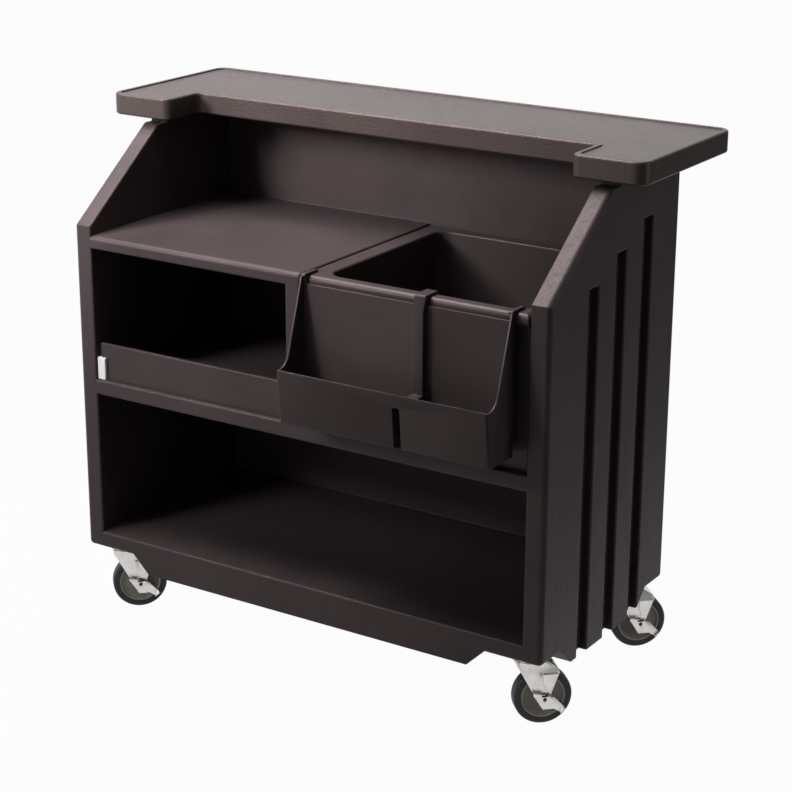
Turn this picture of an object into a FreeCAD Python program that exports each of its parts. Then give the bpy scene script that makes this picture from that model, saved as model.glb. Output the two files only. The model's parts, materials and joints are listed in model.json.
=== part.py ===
import FreeCAD, Part
import math
import os
import Sketcher

# Portable bar on four locking casters, in millimetres.
# X runs along the bar, +Y points to the guests, +Z is up, and the floor is at zero.

SIZES = {
    # Moulded body
    "body_width": 1218,
    "body_depth": 570,
    "body_height": 1145,
    "side_wall": 45.7,
    "back_wall": 48,
    "front_rise": 21.5,
    "slope_top": 1128,
    "slope_run": 248,
    "seat_setback": 36,
    "deck_height": 918.5,
    "deck_thick": 29.5,
    "divider_thick": 38,
    "bin_bay_left": 8,
    "shelf_top": 581,
    "shelf_thick": 36,
    "floor_top": 204,
    "corner_bottom": 165,
    "skirt_drop": 39,
    "skirt_inset_x": 140,
    "skirt_inset_y": 95,
    "corner_round": 12,
    "foot_round": 10,
    "deck_round": 11,
    "opening_round": 5,
    # Vertical grooves in the sides and the guest face
    "groove_width": 43,
    "groove_depth": 18,
    "groove_pitch": 119.5,
    "groove_first": 182,
    "groove_top": 938,
    "groove_step": 49.5,
    "groove_round": 4,
    "back_groove_top": 1037,
    # Bar top
    "top_width": 1372,
    "top_depth": 421,
    "top_thick": 49,
    "top_overhang": 83,
    "arm_width": 168,
    "notch_depth": 115,
    "top_corner": 30,
    "notch_corner": 20,
    "rim_width": 12,
    "rim_height": 3,
    "top_edge_round": 5,
    "rim_round": 1.2,
    "rib_length": 900,
    "rib_thick": 18,
    "rib_height": 40,
    "top_bolt_r": 4,
    "top_bolt_head_r": 8,
    "top_bolt_head_thick": 6,
    "top_bolt_bite": 30,
    # Ice bin
    "bin_gap": 2,
    "bin_back_gap": 6,
    "bin_rim_proud": 3,
    "bin_rim_height": 26.5,
    "bin_front_recess": 20,
    "bin_side_recess": 6,
    "bin_front_ledge": 32,
    "bin_left_ledge": 50,
    "bin_right_ledge": 22,
    "bin_back_ledge": 34,
    "bin_floor_thick": 39,
    "bin_corner": 35,
    "bin_floor_round": 20,
    "bin_rim_round": 11,
    # Drain
    "drain_inset_x": 80,
    "drain_inset_y": 62,
    "drain_hole_r": 16,
    "gasket_thick": 1.5,
    "flange_r": 30,
    "flange_thick": 3,
    "pipe_r": 15,
    "pipe_bore": 12,
    "pipe_length": 116,
    "strainer_hole_r": 2.5,
    "strainer_ring_r": 7,
    "locknut_r": 26,
    "locknut_thick": 10,
    "valve_socket_wall": 4.5,
    "valve_socket_depth": 26,
    "valve_r": 22,
    "valve_height": 36,
    "valve_bore": 5,
    "ball_r": 12.8,
    "ball_clearance": 0.3,
    "stem_r": 4,
    "stem_reach": 9,
    "spigot_r": 9,
    "spigot_length": 30,
    "lever_length": 62,
    "lever_width": 13,
    "lever_thick": 4,
    # Speed rail
    "rail_reach": 109,
    "rail_left": 22,
    "rail_length": 511,
    "rail_bottom": 617,
    "rail_top": 738,
    "rail_lean": 11,
    "rail_wall": 5,
    "rail_gap": 0.8,
    "rail_back_drop": 16,
    "cheek_knee_reach": 65,
    "cheek_knee_rise": 27,
    "cheek_curve": 37,
    "cheek_crest_reach": 16,
    "rail_first_pocket": 277,
    "slot_width": 17,
    "slot_drop": 29,
    "slot_round": 4,
    "mid_rib_depth": 21,
    "hook_thick": 6,
    "hook_width": 11,
    "hook_lip": 16,
    "rail_corner": 7,
    # Bottle fence and its guides
    "fence_thick": 10,
    "fence_height": 85,
    "fence_setback": 13,
    "fence_round": 2,
    "guide_width": 22,
    "guide_depth": 26,
    "guide_height": 52,
    "guide_web": 6.5,
    "guide_setback": 6,
    "guide_round": 2,
    "guide_screw_r": 2,
    "guide_screw_head_r": 3.8,
    "guide_screw_head_thick": 2.5,
    "guide_screw_bite": 16,
    # Casters
    "caster_inset_x": 62,
    "caster_inset_y": 60,
    "trail": 30,
    "wheel_r": 63.5,
    "tread_width": 32,
    "tread_round": 6,
    "hub_r": 48.6,
    "hub_lip": 3.6,
    "hub_rim_half": 15.2,
    "hub_web_half": 10,
    "hub_boss_r": 17,
    "hub_boss_half": 18.5,
    "bushing_r": 9,
    "bushing_gap": 0.5,
    "axle_r": 6,
    "axle_head_r": 9.5,
    "axle_head_thick": 5,
    "axle_nut_r": 10.5,
    "axle_nut_thick": 8,
    "axle_end": 3,
    "plate_length": 95,
    "plate_width": 67,
    "plate_thick": 4,
    "plate_corner": 6,
    "plate_bolt_x": 38,
    "plate_bolt_y": 23,
    "plate_bolt_r": 4,
    "plate_bolt_head_r": 6.8,
    "plate_bolt_head_thick": 5,
    "plate_bolt_bite": 24,
    "race_r": 33,
    "race_height": 10,
    "race_round": 3,
    "kingpin_r": 8,
    "kingpin_head_r": 13,
    "kingpin_head_thick": 5,
    "fork_gap": 0.3,
    "fork_thick": 4,
    "leg_thick": 3,
    "leg_inside_half": 20,
    "crown_front": 30,
    "crown_rear": 33,
    "fork_boss_r": 13,
    "rib_rise": 2,
    "rib_width": 8,
    "fork_rear_top_x": 60,
    "fork_rear_top_z": 130,
    "fork_rear_x": 63,
    "fork_rear_z": 120,
    "fork_front_z": 141,
    "fork_throat_x": 19,
    "fork_throat_z": 122,
    "fork_waist_front": 2,
    "fork_waist_rear": 49,
    "fork_waist_z": 82,
    # Brake lever, measured from the axle
    "brake_gap": 0.5,
    "brake_thick": 3,
    "brake_pin_r": 4,
    "brake_tip_x": 44,
    "brake_tip_z": 22,
    "brake_tip_width": 11,
    "brake_tab_x": 27,
    "brake_tab_z": 17,
    "brake_waist_x": 20,
    "brake_belly": 23,
    "brake_foot": 12,
    "brake_slot_length": 14,
    "brake_slot_height": 4,
    "brake_slot_rise": 6,
    # Clearances and the overrun of cuts
    "running_gap": 0.05,
    "seat_gap": 0.3,
    "bolt_gap": 0.15,
    "overrun": 20,
    "match": 0.01,
}

ANGLES = {"caster_turn_deg": 44}
GROOVES_EACH_SIDE = 3
BACK_GROOVES = 9
STRAINER_HOLES = 6
TOP_BOLT_SHARES = (-0.45, -0.15, 0.15, 0.45)
GUIDE_SCREW_SHARES = (0.25, 0.75)
HEXAGON_SIDES = 6
TIP_SLANT_SHARE = 0.8
BRAKE_NECK_SHARE = 0.22
BRAKE_SHOULDER_SHARE = 0.72
BRAKE_FLANK_SHARE = 0.6
BRAKE_TAB_SHARE = 0.7
BRAKE_PAD_SHARE = 0.1


class Size:
    """A length written as a formula of sheet cells, with the value it has now."""

    def __init__(self, text, value):
        self.text = text
        self.value = value

    def joined(self, sign, other, value):
        return Size("(%s %s %s)" % (self.text, sign, formula(other)), value)

    def __add__(self, other):
        return self.joined("+", other, self.value + number(other))

    def __sub__(self, other):
        return self.joined("-", other, self.value - number(other))

    def __mul__(self, other):
        return self.joined("*", other, self.value * number(other))

    def __truediv__(self, other):
        return self.joined("/", other, self.value / number(other))

    def __neg__(self):
        return Size("(-%s)" % self.text, -self.value)

    __rmul__ = __mul__


class SizeSheet:
    """Reads each named cell of the sheet as a Size."""

    def __getattr__(self, name):
        return Size("Sizes." + name, float(SIZES[name] if name in SIZES else ANGLES[name]))


def formula(size):
    return size.text if isinstance(size, Size) else repr(float(size))


def number(size):
    return size.value if isinstance(size, Size) else float(size)


def root(size):
    return Size("sqrt(%s)" % size.text, math.sqrt(size.value))


doc = FreeCAD.newDocument("portable_bar")
sheet = doc.addObject("Spreadsheet::Sheet", "Sizes")
for row, (alias, value) in enumerate({**SIZES, **ANGLES}.items(), 1):
    sheet.set("A%d" % row, alias)
    sheet.set("B%d" % row, str(value))
    sheet.setAlias("B%d" % row, alias)
doc.recompute()
s = SizeSheet()

# Places that several pieces share
half_width = s.body_width / 2
total_depth = s.body_depth + s.rail_reach + s.top_overhang
front = s.rail_reach - total_depth / 2
back = front + s.body_depth
inner_x = half_width - s.side_wall
back_face = back - s.back_wall
slope_back = front + s.slope_run
seat_front = slope_back + s.seat_setback
skirt_bottom = s.corner_bottom - s.skirt_drop
shelf_under = s.shelf_top - s.shelf_thick
divider_left = s.bin_bay_left - s.divider_thick
top_back = back + s.top_overhang
top_front = top_back - s.top_depth
rib_front = back_face - s.rib_thick
rib_middle = s.body_height - s.rib_height / 2
bin_rim_front = front - s.bin_rim_proud
bin_rim_back = back_face - s.bin_back_gap
bin_rim_left = s.bin_bay_left + s.bin_gap
bin_rim_right = inner_x - s.bin_gap
bin_inside_left = bin_rim_left + s.bin_left_ledge
bin_inside_right = bin_rim_right - s.bin_right_ledge
bin_inside_front = bin_rim_front + s.bin_front_ledge
bin_inside_back = bin_rim_back - s.bin_back_ledge
bin_floor = s.shelf_top + s.bin_floor_thick
drain_x = bin_inside_right - s.drain_inset_x
drain_y = bin_inside_back - s.drain_inset_y
flange_under = bin_floor + s.gasket_thick
pipe_end = flange_under - s.pipe_length
valve_shoulder = pipe_end - s.running_gap
valve_base = valve_shoulder - s.valve_height
valve_middle = valve_shoulder - s.valve_height / 2
fence_front = front + s.fence_setback
fence_middle = fence_front + s.fence_thick / 2
plate_under = s.corner_bottom - s.plate_thick
race_under = plate_under - s.race_height
crown_top = race_under - s.fork_gap
crown_under = crown_top - s.fork_thick
leg_outside = s.leg_inside_half + s.leg_thick
brake_inside = leg_outside + s.axle_head_thick + s.brake_gap
brake_outside = brake_inside + s.brake_thick

nodes = []


def keep(item, label):
    """Names a finished piece and lists it for writing."""
    item.Label = label
    nodes.append(item)
    return item


def place(item, x=0, y=0, z=0):
    """Ties an item's place to the sheet."""
    item.setExpression("Placement.Base.x", formula(x))
    item.setExpression("Placement.Base.y", formula(y))
    item.setExpression("Placement.Base.z", formula(z))


def aim(item, axis, angle):
    """Turns an item about an axis before it is placed."""
    item.Placement = FreeCAD.Placement(FreeCAD.Vector(), FreeCAD.Rotation(axis, angle))


ALONG_X = FreeCAD.Vector(1, 0, 0)
ALONG_Y = FreeCAD.Vector(0, 1, 0)
ALONG_Z = FreeCAD.Vector(0, 0, 1)
QUARTER_TURN = 90
FULL_TURN = 360


def new_body(label=None):
    body = doc.addObject("PartDesign::Body", "Body")
    return keep(body, label) if label else body


def sketch_on(body, role, lift=0, shift=(0, 0)):
    """An empty sketch on one plane of the body, lifted along the plane's normal."""
    sketch = body.newObject("Sketcher::SketchObject", "Outline")
    plane = next(item for item in body.Origin.OriginFeatures if item.Role == role)
    sketch.AttachmentSupport = (plane, [""])
    sketch.MapMode = "FlatFace"
    for axis, size in zip("xyz", (shift[0], shift[1], lift)):
        sketch.setExpression("AttachmentOffset.Base.%s" % axis, formula(size))
    return sketch


def fix(sketch, rule, size):
    """Adds a dimension to the sketch and ties it to the sheet."""
    index = sketch.addConstraint(rule)
    sketch.setExpression("Constraints[%d]" % index, formula(size))


def add_loop(sketch, points):
    """A closed loop of lines, where a point may add the radius and turn of an arc after it."""
    corners = [FreeCAD.Vector(number(point[0]), number(point[1]), 0) for point in points]
    count = len(points)
    pieces = []
    for index, point in enumerate(points):
        start = corners[index]
        end = corners[(index + 1) % count]
        if len(point) == 2:
            pieces.append((sketch.addGeometry(Part.LineSegment(start, end), False), 1, 2))
        else:
            arc = sketch.addGeometry(arc_between(start, end, number(point[2]), point[3]), False)
            pieces.append((arc, 1, 2) if point[3] > 0 else (arc, 2, 1))
            fix(sketch, Sketcher.Constraint("Radius", arc, number(point[2])), point[2])
    for index, point in enumerate(points):
        piece, head, tail = pieces[index]
        following, next_head, next_tail = pieces[(index + 1) % count]
        sketch.addConstraint(Sketcher.Constraint("Coincident", piece, tail, following, next_head))
        fix(sketch, Sketcher.Constraint("DistanceX", -1, 1, piece, head, number(point[0])), point[0])
        fix(sketch, Sketcher.Constraint("DistanceY", -1, 1, piece, head, number(point[1])), point[1])


def arc_between(start, end, radius, turn):
    """The short arc from start to end that turns left for +1 and right for -1."""
    chord = end - start
    middle = (start + end) / 2
    left = FreeCAD.Vector(-chord.y, chord.x, 0).normalize()
    rise = math.sqrt(max(radius ** 2 - (chord.Length / 2) ** 2, 0))
    centre = middle + left * (rise * turn)
    first, last = (start, end) if turn > 0 else (end, start)
    angles = [math.atan2(tip.y - centre.y, tip.x - centre.x) for tip in (first, last)]
    return Part.ArcOfCircle(Part.Circle(centre, ALONG_Z, radius), angles[0], angles[1])


def outline(body, role, points, lift=0, shift=(0, 0)):
    sketch = sketch_on(body, role, lift, shift)
    add_loop(sketch, points)
    return sketch


def boxes(body, role, spans, lift):
    """One sketch of several rectangles, each a pair of spans."""
    sketch = sketch_on(body, role, lift)
    for (left, right), (low, high) in spans:
        add_loop(sketch, [(left, low), (right, low), (right, high), (left, high)])
    return sketch


def circles(body, role, centres, radius, lift):
    """One sketch of several equal circles."""
    sketch = sketch_on(body, role, lift)
    for x, y in centres:
        spot = FreeCAD.Vector(number(x), number(y), 0)
        ring = sketch.addGeometry(Part.Circle(spot, ALONG_Z, number(radius)), False)
        fix(sketch, Sketcher.Constraint("Radius", ring, number(radius)), radius)
        fix(sketch, Sketcher.Constraint("DistanceX", -1, 1, ring, 3, number(x)), x)
        fix(sketch, Sketcher.Constraint("DistanceY", -1, 1, ring, 3, number(y)), y)
    return sketch


def pad(body, sketch, length):
    feature = body.newObject("PartDesign::Pad", "Pad")
    feature.Profile = sketch
    feature.setExpression("Length", formula(length))
    return feature


def pocket(body, sketch, length):
    """Cuts along the sketch's normal, the way a pad would grow."""
    feature = body.newObject("PartDesign::Pocket", "Pocket")
    feature.Profile = sketch
    feature.Reversed = True
    feature.setExpression("Length", formula(length))
    return feature


def turned(body, sketch, axis):
    feature = body.newObject("PartDesign::Revolution", "Turned")
    feature.Profile = sketch
    feature.ReferenceAxis = (sketch, [axis])
    feature.Angle = FULL_TURN
    return feature


def block(body, kind, x, y, z):
    """A box that is added to or cut from the body, each span a pair of low and high ends."""
    feature = body.newObject("PartDesign::%sBox" % kind, "Block")
    for name, span in (("Length", x), ("Width", y), ("Height", z)):
        feature.setExpression(name, formula(span[1] - span[0]))
    place(feature, x[0], y[0], z[0])
    return feature


def round_edges(body, radius, wanted):
    """Rounds every edge of the body so far that the test picks."""
    doc.recompute()
    base = body.Tip
    names = ["Edge%d" % (index + 1) for index, edge in enumerate(base.Shape.Edges) if wanted(edge)]
    feature = body.newObject("PartDesign::Fillet", "Rounded")
    feature.Base = (base, names)
    feature.setExpression("Radius", formula(radius))
    return feature


def near(value, size):
    return abs(value - number(size)) < SIZES["match"]


def flat(edge, axis, size):
    """True where the whole edge lies at one place along an axis."""
    box = edge.BoundBox
    low, high = {"x": (box.XMin, box.XMax), "y": (box.YMin, box.YMax), "z": (box.ZMin, box.ZMax)}[axis]
    return near(low, size) and near(high, size)


def either(edge, axis, size):
    return flat(edge, axis, size) or flat(edge, axis, -size)


def upright(edge):
    box = edge.BoundBox
    return box.ZLength > SIZES["match"] and max(box.XLength, box.YLength) < SIZES["match"]


def body_shell():
    body = new_body("body_shell")
    profile = [
        (front, skirt_bottom),
        (front, s.deck_height + s.front_rise),
        (slope_back, s.slope_top),
        (seat_front, s.slope_top),
        (seat_front, s.body_height),
        (back, s.body_height),
        (back, skirt_bottom),
    ]
    pad(body, outline(body, "YZ_Plane", profile, -half_width), s.body_width)
    levels = (skirt_bottom, s.slope_top, s.body_height)

    def outer_corner(edge):
        seat = flat(edge, "y", seat_front) or any(flat(edge, "z", z) for z in levels)
        return either(edge, "x", half_width) and not seat

    round_edges(body, s.corner_round, outer_corner)
    bays(body)
    caster_corners(body)
    fixing_holes(body)
    grooves(body)
    return body


def bays(body):
    """The open work well, the bin's bay, the bottle bay and the lower bay."""
    deck_under = s.deck_height - s.deck_thick
    above = s.body_height + s.overrun
    spans = [
        ((-inner_x, divider_left), (s.shelf_top, deck_under)),
        ((-inner_x, inner_x), (s.floor_top, shelf_under)),
    ]
    depth = s.body_depth - s.back_wall + s.overrun
    pocket(body, boxes(body, "XZ_Plane", spans, -back_face), depth)
    well = [
        (-inner_x, s.deck_height),
        (s.bin_bay_left, s.deck_height),
        (s.bin_bay_left, s.shelf_top),
        (inner_x, s.shelf_top),
        (inner_x, above),
        (-inner_x, above),
    ]
    pocket(body, outline(body, "XZ_Plane", well, -back_face), depth)

    def deck_edge(edge):
        return flat(edge, "y", front) and flat(edge, "z", s.deck_height)

    def opening_edge(edge):
        if not flat(edge, "y", front):
            return False
        sides = any(flat(edge, "x", x) for x in (-inner_x, inner_x, divider_left, s.bin_bay_left))
        levels = (s.floor_top, shelf_under, s.shelf_top, deck_under)
        return sides or any(flat(edge, "z", z) for z in levels)

    def slope_edge(edge):
        box = edge.BoundBox
        return either(edge, "x", inner_x) and near(box.YMin, front) and near(box.ZMax, s.slope_top)

    round_edges(body, s.deck_round, deck_edge)
    round_edges(body, s.opening_round, lambda edge: opening_edge(edge) or slope_edge(edge))


def caster_corners(body):
    """Raised corners over the casters, with sloping inner sides."""
    far_x = half_width + s.overrun
    for side in (-1, 1):
        for end, face in ((-1, front), (1, back)):
            far_y = face + s.overrun * end
            rims = []
            for level, spread in ((s.corner_bottom, 0), (skirt_bottom, 1)):
                x = (half_width - s.skirt_inset_x - s.skirt_drop * spread) * side
                y = face - (s.skirt_inset_y + s.skirt_drop * spread) * end
                corners = [(x, y), (far_x * side, y), (far_x * side, far_y), (x, far_y)]
                rims.append(outline(body, "XY_Plane", corners, level))
            loft = body.newObject("PartDesign::SubtractiveLoft", "Corner")
            loft.Profile = rims[0]
            loft.Sections = [rims[1]]
            loft.Ruled = True

    def foot_edge(edge):
        box = edge.BoundBox
        side = near(box.XMin, half_width) or near(box.XMax, -half_width)
        end = near(box.YMax, front) or near(box.YMin, back)
        return flat(edge, "z", s.corner_bottom) and (side or end)

    round_edges(body, s.foot_round, foot_edge)


def fixing_holes(body):
    """Holes for the drain pipe and for every bolt and screw that bites into the body."""
    drain = circles(body, "XY_Plane", [(drain_x, drain_y)], s.drain_hole_r, shelf_under - s.overrun)
    pocket(body, drain, s.shelf_thick + s.overrun * 2)
    bite = s.top_bolt_bite + s.bolt_gap
    spots = [(s.rib_length * share, rib_middle) for share in TOP_BOLT_SHARES]
    holes = circles(body, "XZ_Plane", spots, s.top_bolt_r + s.bolt_gap, -back_face - bite)
    pocket(body, holes, bite + s.overrun)
    spots = [(x + dx, y + dy) for name, x, y in caster_places() for dx, dy in plate_corners()]
    holes = circles(body, "XY_Plane", spots, s.plate_bolt_r + s.bolt_gap, s.corner_bottom - s.overrun)
    pocket(body, holes, s.plate_bolt_bite + s.bolt_gap + s.overrun)
    bite = s.guide_screw_bite + s.bolt_gap
    spots = [(fence_middle, s.shelf_top + s.guide_height * share) for share in GUIDE_SCREW_SHARES]
    for start in (-inner_x - bite, divider_left - s.overrun):
        holes = circles(body, "YZ_Plane", spots, s.guide_screw_r + s.bolt_gap, start)
        pocket(body, holes, bite + s.overrun)


def grooves(body):
    """Vertical grooves that run out at the foot of the sides and of the guest face."""
    foot = skirt_bottom - s.overrun
    half = s.groove_width / 2
    depth = s.groove_depth + s.overrun
    first_y = front + s.groove_first
    first_x = -s.groove_pitch * ((BACK_GROOVES - 1) / 2)
    sides = []
    for index in range(GROOVES_EACH_SIDE):
        middle = first_y + s.groove_pitch * index
        sides.append(((middle - half, middle + half), (foot, s.groove_top + s.groove_step * index)))
    rear = []
    for index in range(BACK_GROOVES):
        middle = first_x + s.groove_pitch * index
        rear.append(((middle - half, middle + half), (foot, s.back_groove_top)))
    pocket(body, boxes(body, "YZ_Plane", sides, half_width - s.groove_depth), depth)
    pocket(body, boxes(body, "YZ_Plane", sides, -half_width - s.overrun), depth)
    pocket(body, boxes(body, "XZ_Plane", rear, -back - s.overrun), depth)

    def groove_edge(edge):
        if either(edge, "x", half_width):
            return beside_groove(edge, edge.BoundBox.YMin, edge.BoundBox.YMax, first_y, GROOVES_EACH_SIDE)
        if flat(edge, "y", back):
            return beside_groove(edge, edge.BoundBox.XMin, edge.BoundBox.XMax, first_x, BACK_GROOVES)
        return False

    round_edges(body, s.groove_round, groove_edge)


def beside_groove(edge, low, high, first, count):
    """True for the long edges and the top edge of a groove in a row of them."""
    half = SIZES["groove_width"] / 2
    for index in range(count):
        middle = number(first) + SIZES["groove_pitch"] * index
        long_edge = any(near(low, middle + side) and near(high, middle + side) for side in (-half, half))
        top_edge = near(low, middle - half) and near(high, middle + half)
        if long_edge or (top_edge and edge.BoundBox.ZMin > number(s.corner_bottom)):
            return True
    return False


def caster_places():
    """Name and kingpin place of each caster."""
    x = half_width - s.caster_inset_x
    rows = (("front", front + s.caster_inset_y), ("rear", back - s.caster_inset_y))
    sides = (("left", -1), ("right", 1))
    return [("%s_%s" % (row, side), x * sign, y) for row, y in rows for side, sign in sides]


def plate_corners():
    return [(s.plate_bolt_x * i, s.plate_bolt_y * j) for i in (-1, 1) for j in (-1, 1)]


def notched(inset):
    """Points of the bar top's outline, drawn in by an even inset."""
    half = s.top_width / 2 - inset
    notch = s.top_width / 2 - s.arm_width + inset
    near_y = top_front + inset
    notch_y = top_front + s.notch_depth + inset
    far_y = top_back - inset
    return [
        (-half, near_y),
        (-notch, near_y),
        (-notch, notch_y),
        (notch, notch_y),
        (notch, near_y),
        (half, near_y),
        (half, far_y),
        (-half, far_y),
    ]


def bar_top():
    body = new_body("bar_top")
    top = s.body_height + s.top_thick
    field = top - s.rim_height
    half = s.top_width / 2
    notch = half - s.arm_width
    pad(body, outline(body, "XY_Plane", notched(0), s.body_height), s.top_thick)
    pocket(body, outline(body, "XY_Plane", notched(s.rim_width), field), s.rim_height + s.overrun)
    corners = (
        (half, s.top_corner),
        (half - s.rim_width, s.top_corner - s.rim_width),
        (notch, s.notch_corner),
        (notch + s.rim_width, s.notch_corner - s.rim_width / 2),
    )
    for x, radius in corners:
        round_edges(body, radius, lambda edge, x=x: upright(edge) and either(edge, "x", x))
    outer = outer_loop(body, top)
    round_edges(body, s.top_edge_round, lambda edge: flat(edge, "z", s.body_height) or edge_in(edge, outer))
    outer = outer_loop(body, top)
    round_edges(body, s.rim_round, lambda edge: flat(edge, "z", top) and not edge_in(edge, outer))
    span = (-s.rib_length / 2, s.rib_length / 2)
    block(body, "Additive", span, (rib_front, back_face), (s.body_height - s.rib_height, s.body_height))
    spots = [(s.rib_length * share, rib_middle) for share in TOP_BOLT_SHARES]
    holes = circles(body, "XZ_Plane", spots, s.top_bolt_r + s.bolt_gap, -back_face)
    pocket(body, holes, s.rib_thick + s.overrun)
    bolts = []
    for x, z in spots:
        item = bolt(s.top_bolt_r, s.rib_thick + s.top_bolt_bite, s.top_bolt_head_r, s.top_bolt_head_thick)
        aim(item, ALONG_X, -QUARTER_TURN)
        place(item, x, rib_front, z)
        bolts.append(item)
    group("bar_top_bolts", bolts)


def outer_loop(body, level):
    """Edges round the outside of the body's level face at one height."""
    doc.recompute()
    for face in body.Tip.Shape.Faces:
        if near(face.BoundBox.ZMin, level) and near(face.BoundBox.ZMax, level):
            return face.OuterWire.Edges
    return []


def edge_in(edge, edges):
    return any(edge.isSame(other) for other in edges)


def cylinder(radius, length):
    item = doc.addObject("Part::Cylinder", "Round")
    item.setExpression("Radius", formula(radius))
    item.setExpression("Height", formula(length))
    return item


def hexagon(radius, length):
    item = doc.addObject("Part::Prism", "Hexagon")
    item.Polygon = HEXAGON_SIDES
    item.setExpression("Circumradius", formula(radius))
    item.setExpression("Height", formula(length))
    return item


def join(kind, base, tool):
    item = doc.addObject("Part::%s" % kind, kind)
    item.Base = base
    item.Tool = tool
    return item


def bolt(radius, length, head_r, head_thick, make_head=hexagon):
    """A bolt that grows along Z from zero, with its head below."""
    head = make_head(head_r, head_thick)
    place(head, 0, 0, -head_thick)
    return join("Fuse", cylinder(radius, length), head)


def group(label, items):
    whole = doc.addObject("Part::Compound", "Group")
    whole.Links = items
    return keep(whole, label)


def ice_bin():
    body = new_body("ice_bin")
    rim_under = s.deck_height - s.bin_rim_height
    rim_x = (bin_rim_left, bin_rim_right)
    casing_x = (bin_rim_left + s.bin_side_recess, bin_rim_right - s.bin_side_recess)
    casing_y = (bin_rim_front + s.bin_front_recess, bin_rim_back - s.bin_side_recess)
    block(body, "Additive", casing_x, casing_y, (s.shelf_top, s.deck_height))
    block(body, "Additive", rim_x, (bin_rim_front, bin_rim_back), (rim_under, s.deck_height))
    inside_x = (bin_inside_left, bin_inside_right)
    inside_y = (bin_inside_front, bin_inside_back)
    block(body, "Subtractive", inside_x, inside_y, (bin_floor, s.deck_height + s.overrun))

    def inside_corner(edge):
        across = flat(edge, "x", bin_inside_left) or flat(edge, "x", bin_inside_right)
        along = flat(edge, "y", bin_inside_front) or flat(edge, "y", bin_inside_back)
        return upright(edge) and across and along

    def rim_foot(edge):
        return flat(edge, "z", rim_under) and flat(edge, "y", bin_rim_front)

    round_edges(body, s.bin_corner, inside_corner)
    round_edges(body, s.bin_floor_round, lambda edge: flat(edge, "z", bin_floor))
    round_edges(body, s.bin_rim_round, rim_foot)
    outer = outer_loop(body, s.deck_height)
    round_edges(body, s.bin_rim_round, lambda edge: edge_in(edge, outer))
    lip = outer_loop(body, s.deck_height)

    def bin_mouth(edge):
        return flat(edge, "z", s.deck_height) and not edge_in(edge, lip)

    round_edges(body, s.opening_round, bin_mouth)
    hole = circles(body, "XY_Plane", [(drain_x, drain_y)], s.drain_hole_r, s.shelf_top - s.overrun)
    pocket(body, hole, s.bin_floor_thick + s.overrun * 2)


def lathe(label, points):
    """A piece turned about the drain's upright axis, from points of radius and height."""
    body = new_body(label)
    turned(body, outline(body, "XZ_Plane", points), "V_Axis")
    place(body, drain_x, drain_y)
    return body


def drain():
    gasket_inside = s.drain_hole_r + s.bolt_gap
    lathe("drain_gasket", [
        (gasket_inside, bin_floor),
        (s.flange_r - s.gasket_thick, bin_floor),
        (s.flange_r - s.gasket_thick, flange_under),
        (gasket_inside, flange_under),
    ])
    flange_top = flange_under + s.flange_thick
    flange = lathe("drain_flange", [
        (0, flange_under),
        (s.pipe_bore, flange_under),
        (s.pipe_bore, pipe_end),
        (s.pipe_r, pipe_end),
        (s.pipe_r, flange_under),
        (s.flange_r, flange_under),
        (s.flange_r, flange_top),
        (0, flange_top),
    ])
    hole = circles(flange, "XY_Plane", [(s.strainer_ring_r, 0)], s.strainer_hole_r, flange_under)
    cut = pocket(flange, hole, s.flange_thick + s.overrun)
    ring = flange.newObject("PartDesign::PolarPattern", "Strainer")
    ring.Originals = [cut]
    ring.Axis = (hole, ["N_Axis"])
    ring.Angle = FULL_TURN
    ring.Occurrences = STRAINER_HOLES
    flange.Tip = ring
    nut = hexagon(s.locknut_r, s.locknut_thick)
    bore = cylinder(s.pipe_r + s.running_gap, s.locknut_thick + s.overrun * 2)
    place(bore, 0, 0, -s.overrun)
    locknut = keep(join("Cut", nut, bore), "drain_locknut")
    place(locknut, drain_x, drain_y, shelf_under - s.locknut_thick)
    drain_valve()


def drain_valve():
    socket_inside = s.pipe_r + s.running_gap
    socket_outside = socket_inside + s.valve_socket_wall
    socket_top = pipe_end + s.valve_socket_depth
    seat_r = s.ball_r + s.ball_clearance
    seat_half = root(seat_r * seat_r - s.valve_bore * s.valve_bore)
    spigot_end = valve_base - s.spigot_length
    valve = lathe("drain_valve_body", [
        (socket_inside, socket_top),
        (socket_inside, valve_shoulder),
        (s.valve_bore, valve_shoulder),
        (s.valve_bore, valve_middle + seat_half, seat_r, -1),
        (s.valve_bore, valve_middle - seat_half),
        (s.valve_bore, spigot_end),
        (s.spigot_r, spigot_end),
        (s.spigot_r, valve_base),
        (s.valve_r, valve_base),
        (s.valve_r, valve_shoulder),
        (socket_outside, valve_shoulder),
        (socket_outside, socket_top),
    ])
    hole = circles(valve, "XZ_Plane", [(0, valve_middle)], s.stem_r + s.running_gap, 0)
    pocket(valve, hole, s.valve_r + s.overrun)
    ball = doc.addObject("Part::Sphere", "Ball")
    ball.setExpression("Radius", formula(s.ball_r))
    stem_length = s.valve_r + s.stem_reach
    stem = cylinder(s.stem_r, stem_length)
    aim(stem, ALONG_X, QUARTER_TURN)
    port = cylinder(s.valve_bore, s.ball_r * 2 + s.overrun * 2)
    place(port, 0, 0, -s.ball_r - s.overrun)
    core = keep(join("Cut", join("Fuse", ball, stem), port), "drain_valve_ball")
    place(core, drain_x, drain_y, valve_middle)
    handle = new_body("drain_valve_lever")
    half = s.lever_width / 2
    foot = -(s.lever_length - s.lever_width)
    grip = [
        (-half, 0, half, -1),
        (0, half, half, -1),
        (half, 0),
        (half, foot, half, -1),
        (0, foot - half, half, -1),
        (-half, foot),
    ]
    inside = stem_length - s.lever_thick
    pad(handle, outline(handle, "XZ_Plane", grip, inside), s.lever_thick)
    eye = circles(handle, "XZ_Plane", [(0, 0)], s.stem_r + s.running_gap, inside - s.overrun)
    pocket(handle, eye, s.lever_thick + s.overrun * 2)
    place(handle, drain_x, drain_y, valve_middle)


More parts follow.
